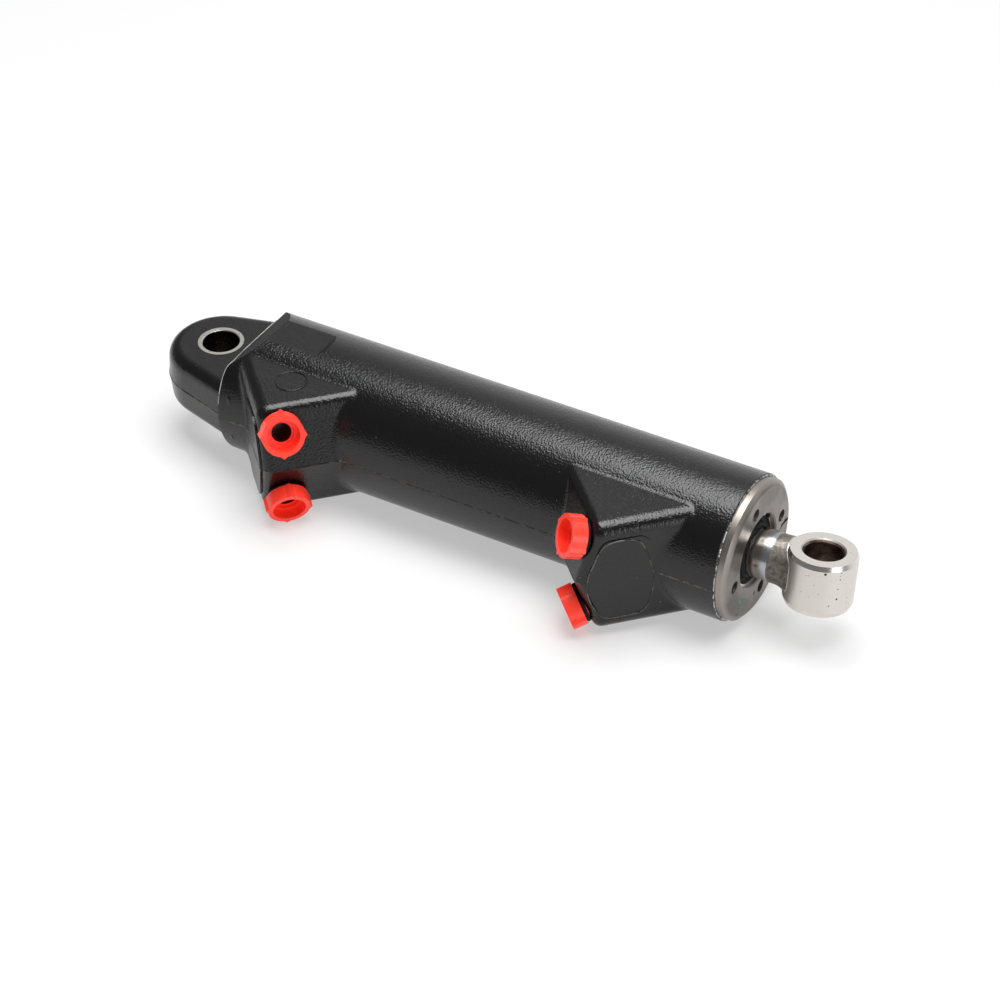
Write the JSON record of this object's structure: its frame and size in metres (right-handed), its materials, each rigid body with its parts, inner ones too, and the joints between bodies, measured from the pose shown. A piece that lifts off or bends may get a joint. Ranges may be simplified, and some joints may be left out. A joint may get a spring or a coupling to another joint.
{
  "type": "hydraulic trim cylinder",
  "caption": "Hydraulic trim cylinder with a black cast barrel, a lug eye at the blind end, leaning port bosses with red transit plugs, a screwed gland and a chromed rod with an eye.",
  "frame": {"origin": "centre of the pin bore in the base eye at the blind end", "axes": "+X along the barrel from the base eye to the rod eye, +Z along the base eye's pin axis, -Y is the side with the port bosses"},
  "size_m": [0.3891, 0.1052, 0.075],
  "materials": {
    "casting": "gloss black paint over cast iron",
    "bush_steel": "machined",
    "gland_steel": "turned and passivated",
    "retainer_steel": "spring steel",
    "rod_chrome": "hard chrome, polished",
    "piston_steel": "machined",
    "nut_steel": "plain",
    "eye_steel": "machined, satin, over a rough forged neck",
    "bush_liner": "lined bearing sleeve",
    "seal_rubber": "matte",
    "guide_plastic": "filled bearing strip",
    "plug_plastic": "moulded red plastic, glossy"
  },
  "bodies": {
    "barrel": {"cylinder_body": "casting", "base_eye_bush": "bush_steel", "gland": "gland_steel", "gland_o_ring": "seal_rubber", "rod_guide_ring": "guide_plastic", "rod_seal": "seal_rubber", "rod_wiper": "seal_rubber", "wiper_retainer": "retainer_steel"},
    "piston_rings": {"piston_guide_ring": "guide_plastic", "piston_seal": "seal_rubber"},
    "rod": {"piston_rod": "rod_chrome", "piston": "piston_steel", "piston_o_ring": "seal_rubber", "piston_nut": "nut_steel", "rod_eye": "eye_steel", "rod_eye_bush": "bush_liner"},
    "plug_base_upper": {"port_plug_base_upper": "plug_plastic", "port_plug_ring_base_upper": "seal_rubber"},
    "plug_base_lower": {"port_plug_base_lower": "plug_plastic", "port_plug_ring_base_lower": "seal_rubber"},
    "plug_rod_upper": {"port_plug_rod_upper": "plug_plastic", "port_plug_ring_rod_upper": "seal_rubber"},
    "plug_rod_lower": {"port_plug_rod_lower": "plug_plastic", "port_plug_ring_rod_lower": "seal_rubber"}
  },
  "joints": [
    {"name": "rod_slide", "type": "slide", "parent": "barrel", "child": "piston_rings", "axis": [1, 0, 0], "range_m": [0, 0.168]},
    {"name": "rod_spin", "type": "hinge", "parent": "piston_rings", "child": "rod", "pos_m": [0, 0, 0], "axis": [1, 0, 0], "continuous": true},
    {"name": "plug_base_upper_pull", "type": "slide", "parent": "barrel", "child": "plug_base_upper", "axis": [0.6713, -0.6713, 0.314], "range_m": [0, 0.03]},
    {"name": "plug_base_lower_pull", "type": "slide", "parent": "barrel", "child": "plug_base_lower", "axis": [0.6713, -0.6713, -0.314], "range_m": [0, 0.03]},
    {"name": "plug_rod_upper_pull", "type": "slide", "parent": "barrel", "child": "plug_rod_upper", "axis": [-0.6713, -0.6713, 0.314], "range_m": [0, 0.03]},
    {"name": "plug_rod_lower_pull", "type": "slide", "parent": "barrel", "child": "plug_rod_lower", "axis": [-0.6713, -0.6713, -0.314], "range_m": [0, 0.03]}
  ]
}
